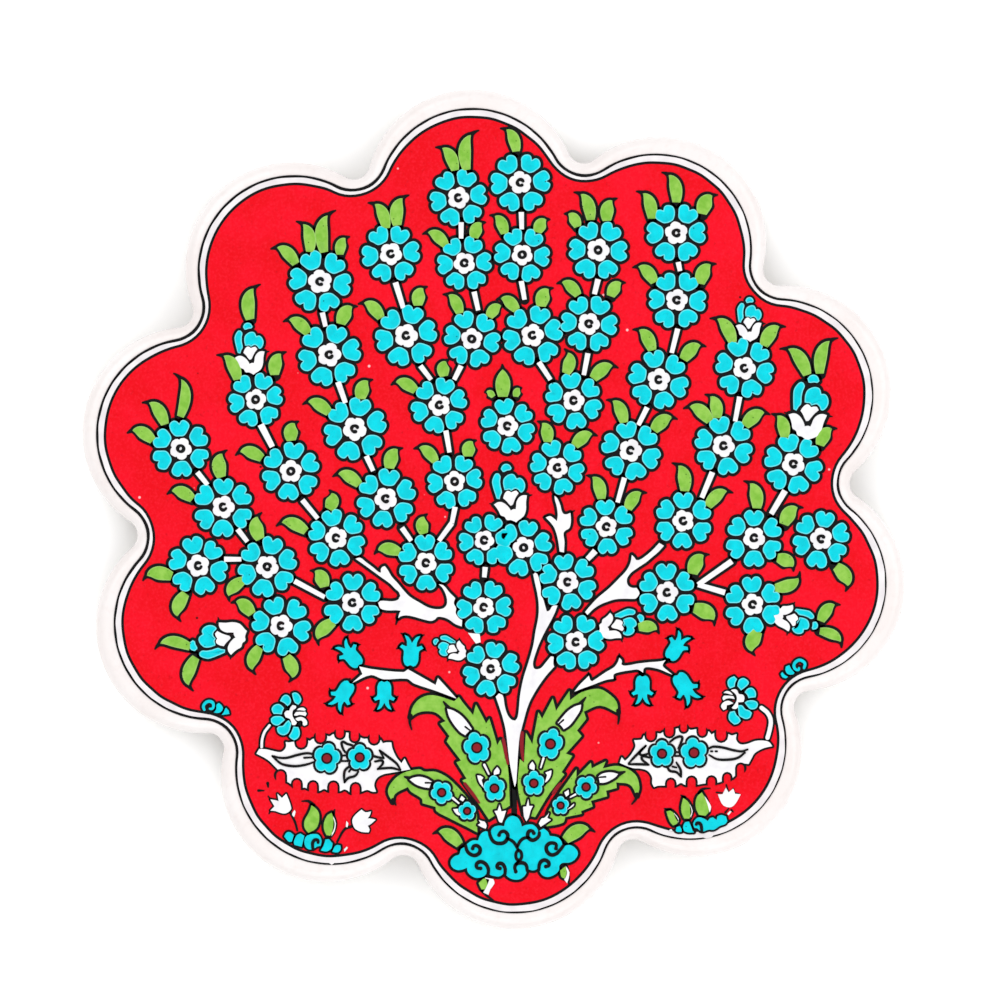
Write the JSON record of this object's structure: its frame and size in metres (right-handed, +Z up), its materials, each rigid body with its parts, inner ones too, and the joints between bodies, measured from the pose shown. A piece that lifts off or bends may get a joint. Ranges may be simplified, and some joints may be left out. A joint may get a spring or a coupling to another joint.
{
  "type": "ceramic plate",
  "caption": "Flat ten-lobed glazed ceramic plate on a foot ring, with a red ground, turquoise blossoms, buds and toothed green leaves.",
  "frame": {"origin": "middle of the plate's outline, on the plane that the foot ring stands on", "axes": "+Z up out of the painted face, +Y towards the top of the painted picture, +X to its right"},
  "size_m": [0.1778, 0.1816, 0.0138],
  "materials": {
    "bisque": "matte",
    "bare_clay": "matte",
    "white_glaze": "gloss",
    "white_enamel": "gloss",
    "black_enamel": "gloss",
    "red_enamel": "gloss",
    "turquoise_enamel": "gloss",
    "green_enamel": "gloss",
    "maroon_enamel": "gloss"
  },
  "bodies": {
    "root": {"bisque_body": "bisque", "foot_ring": "bare_clay", "glaze_coat": "white_glaze", "outer_border_line": "black_enamel", "white_border_band": "white_enamel", "inner_border_line": "black_enamel", "red_ground": "red_enamel", "branch_outlines": "black_enamel", "branches": "white_enamel", "stem_outlines": "black_enamel", "stems": "white_enamel", "blossom_outlines": "black_enamel", "blossom_petals": "turquoise_enamel", "blossom_hearts": "white_enamel", "blossom_rings": "black_enamel", "leaf_outlines": "black_enamel", "leaves": "green_enamel", "bud_outlines": "black_enamel", "bud_calyxes": "white_enamel", "bud_petals": "turquoise_enamel", "bell_outlines": "black_enamel", "bell_flowers": "turquoise_enamel", "saz_outlines": "black_enamel", "green_saz_leaves": "green_enamel", "white_saz_leaves": "white_enamel", "saz_flower_outlines": "black_enamel", "saz_flowers": "turquoise_enamel", "saz_flower_hearts": "maroon_enamel", "carnation_outlines": "black_enamel", "carnation_petals": "turquoise_enamel", "carnation_frills": "white_enamel", "cloud_outlines": "black_enamel", "clouds": "turquoise_enamel", "cloud_spirals": "black_enamel", "tulip_outlines": "black_enamel", "tulips": "white_enamel"}
  },
  "joints": []
}
